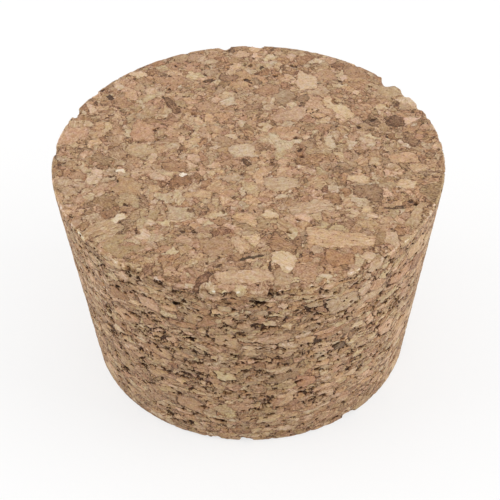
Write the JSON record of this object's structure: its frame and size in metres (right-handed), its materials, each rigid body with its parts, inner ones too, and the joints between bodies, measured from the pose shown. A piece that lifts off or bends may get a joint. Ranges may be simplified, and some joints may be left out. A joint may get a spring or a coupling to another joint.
{
  "type": "tapered cork stopper",
  "caption": "Large tapered stopper of agglomerated cork, wide end up, with granules broken out of its rims, side and ends.",
  "frame": {"origin": "centre of the small end, which the stopper stands on", "axes": "+Z along the stopper's axis from the small end to the large end; X and Y are level, and any turn about Z fits"},
  "size_m": [0.0634, 0.0634, 0.0385],
  "materials": {
    "cork": "ground agglomerated cork, matt and unsealed"
  },
  "bodies": {
    "root": {"stopper": "cork"}
  },
  "joints": []
}
